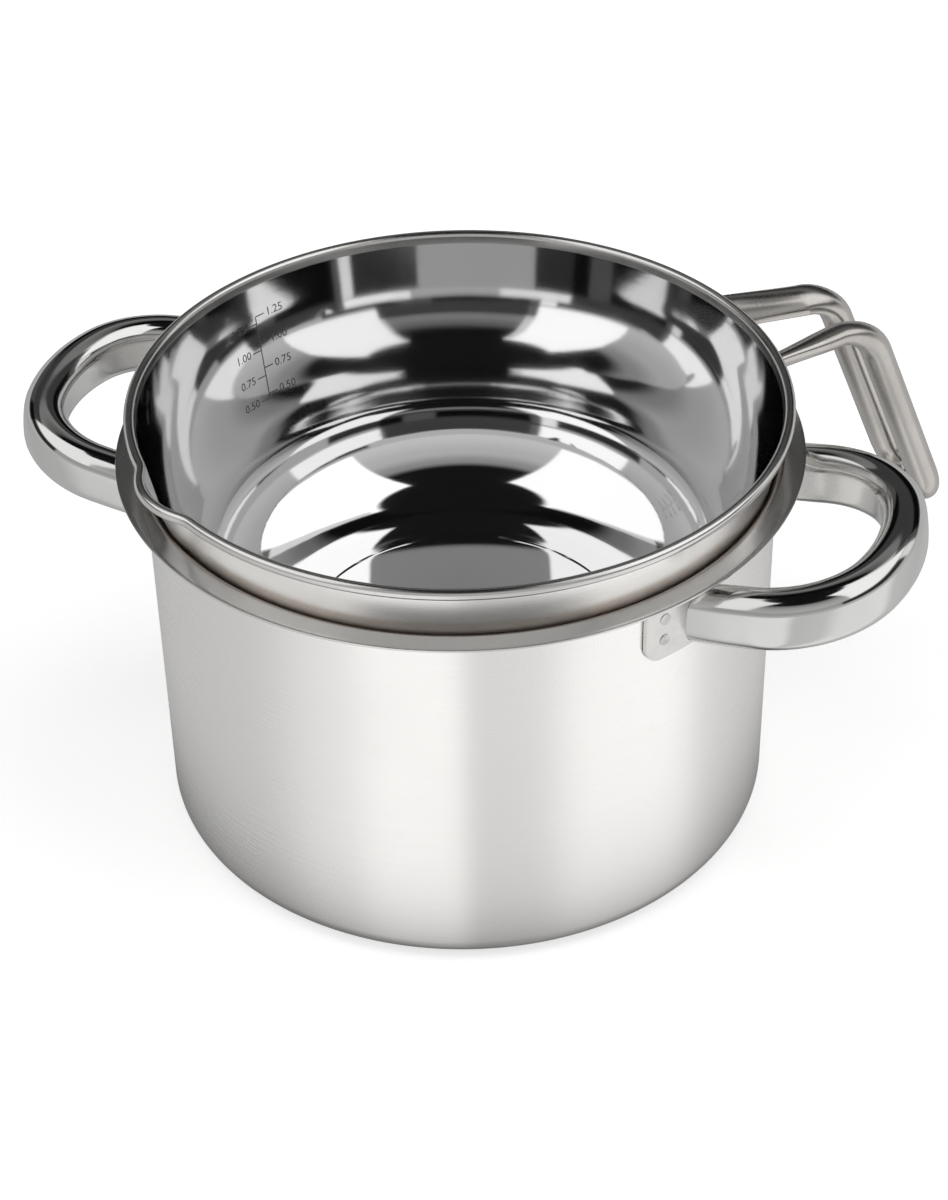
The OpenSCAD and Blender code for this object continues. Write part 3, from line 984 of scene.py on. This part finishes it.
wallBrush = {"Sideways": 20, "Upright": 3600, "Contrast": 0.45}
looks = {
    "potOutside": {
        "color": (0.92, 0.905, 0.885), "dark": (0.7, 0.68, 0.65), "roughness": 0.27, "anisotropic": 0.8,
        "brush": wallBrush, "wear": {"Size": 0.06, "Contrast": 0.3},
        "tone": 0.3, "dullness": 0.08,
    },
    # painted shade and painted reflections: the inside of the pot gets a darker brown colour than the outside
    # of the same sheet. Its upright brush streaks, at high contrast, are painted streaks of reflection; the
    # rings and wear are the steel's own
    "potInsidePaintedShade": {
        "color": (0.5, 0.45, 0.41), "dark": (0.3, 0.26, 0.23), "roughness": 0.2, "anisotropic": 0.6,
        "brush": {"Sideways": 160, "Upright": 6, "Contrast": 1.4},
        "rings": {"Pitch": 0.6 * mm, "Contrast": 0.6}, "wear": {"Size": 0.05, "Contrast": 0.5},
        "tone": 0.7, "dullness": 0.12, "relief": 0.01 * mm,
    },
    "bowlOutside": {
        "color": (0.91, 0.9, 0.885), "dark": (0.7, 0.68, 0.66), "roughness": 0.25, "anisotropic": 0.7,
        "brush": wallBrush, "wear": {"Size": 0.05, "Contrast": 0.3},
        "tone": 0.3, "dullness": 0.08,
    },
    # painted shade: the pot's lip and the bowl's rolled bead get a darker colour than the rest of the same
    # sheet, for the grey they show in the light
    "rimShadedSteel": {
        "color": (0.68, 0.67, 0.655), "dark": (0.42, 0.41, 0.4), "roughness": 0.2,
        "brush": {"Sideways": 60, "Upright": 2000, "Contrast": 0.6},
        "wear": {"Size": 0.03, "Contrast": 0.4}, "tone": 0.5, "dullness": 0.15, "relief": 0.01 * mm,
    },
    "bowlInside": {
        "color": (0.84, 0.84, 0.84), "dark": (0.66, 0.66, 0.66), "roughness": 0.045,
        "rings": {"Pitch": 0.9 * mm, "Contrast": 0.3}, "waves": {"Length": 0.03, "Contrast": 1},
        "wear": {"Size": 0.05, "Contrast": 0.3}, "tone": 0.3, "dullness": 0.06, "relief": 0.02 * mm,
    },
    "polishedTube": {
        "color": (0.62, 0.62, 0.61), "dark": (0.45, 0.45, 0.44), "roughness": 0.07,
        "waves": {"Length": 0.012, "Contrast": 1},
        "wear": {"Size": 0.03, "Contrast": 0.4}, "tone": 0.35, "dullness": 0.12, "relief": 0.03 * mm,
    },
    "satinTube": {
        "color": (0.52, 0.5, 0.475), "dark": (0.3, 0.28, 0.26), "roughness": 0.22,
        "brush": {"Sideways": 900, "Upright": 60, "Contrast": 0.7},
        "wear": {"Size": 0.02, "Contrast": 0.5}, "tone": 0.4, "dullness": 0.15, "relief": 0.01 * mm,
    },
    "tabSteel": {
        "color": (0.66, 0.65, 0.635), "dark": (0.42, 0.4, 0.39), "roughness": 0.22,
        "brush": {"Sideways": 700, "Upright": 2200, "Contrast": 0.8},
        "wear": {"Size": 0.012, "Contrast": 0.6}, "tone": 0.4, "dullness": 0.15, "relief": 0.01 * mm,
    },
    "weldSteel": {
        "color": (0.66, 0.65, 0.64), "dark": (0.3, 0.28, 0.26), "roughness": 0.32,
        "rings": {"Pitch": 0.5 * mm, "Contrast": 0.4}, "wear": {"Size": 0.004, "Contrast": 0.7},
        "tone": 0.7, "dullness": 0.2, "relief": 0.02 * mm,
    },
    "etchedMark": {
        "color": (0.16, 0.16, 0.16), "dark": (0.3, 0.3, 0.3), "roughness": 0.5,
        "wear": {"Size": 0.003, "Contrast": 0.6}, "tone": 0.6, "dullness": 0.2,
    },
}
finishes = {name: metal(name, look) for name, look in looks.items()}


def paint(piece, *names):
    piece.data.materials.clear()
    for name in names:
        piece.data.materials.append(finishes[name])


facing = {"axis": 0.1, "up": 0.3}


def facesAxis(face):
    # 1 where a face looks at the Z axis, -1 where it looks away from it
    outwards = Vector((face.center.x, face.center.y, 0))
    return -face.normal.dot(outwards.normalized()) if outwards.length > 0 else 0


def potFaceInside(face):
    upwards = face.normal.z > facing["up"] and face.center.z < pot["height"] / 2
    inMouth = face.center.xy.length < pot["mouthLimit"]
    aboveFloor = face.center.z > pot["sheet"] / 2
    return aboveFloor and inMouth and (upwards or facesAxis(face) > facing["axis"])


def bowlFaceInside(face):
    return facesAxis(face) > facing["axis"] or face.normal.z > facing["up"]


def potFaceOnLip(face):
    return face.center.z > pot["height"] - pot["mouthR"] and face.center.xy.length > pot["mouthLimit"]


def bowlFaceOnBead(face):
    return face.center.z > bowl["rimZ"] - bowl["beadHeight"]


# the inside faces take a darker colour as painted shade, and the lip faces the rim's darker colour as painted
# shade
paint(potShell, "potOutside", "potInsidePaintedShade", "rimShadedSteel")
for face in potShell.data.polygons:
    face.material_index = 2 if potFaceOnLip(face) else int(potFaceInside(face))
# the bead faces take the darker rim colour, which is painted shade
paint(bowlShell, "bowlOutside", "bowlInside", "rimShadedSteel")
for face in bowlShell.data.polygons:
    face.material_index = 2 if bowlFaceOnBead(face) else int(bowlFaceInside(face))
paint(potHandleRight, "polishedTube")
paint(potHandleLeft, "polishedTube")
paint(bowlHandle, "satinTube")
paint(scaleMarks, "etchedMark")
for name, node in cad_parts.items():
    if "tab" in name:
        paint(node, "tabSteel")
    if "weld" in name:
        paint(node, "weldSteel")
print("finishes done")

bpy.context.scene.view_settings.view_transform = "Standard"
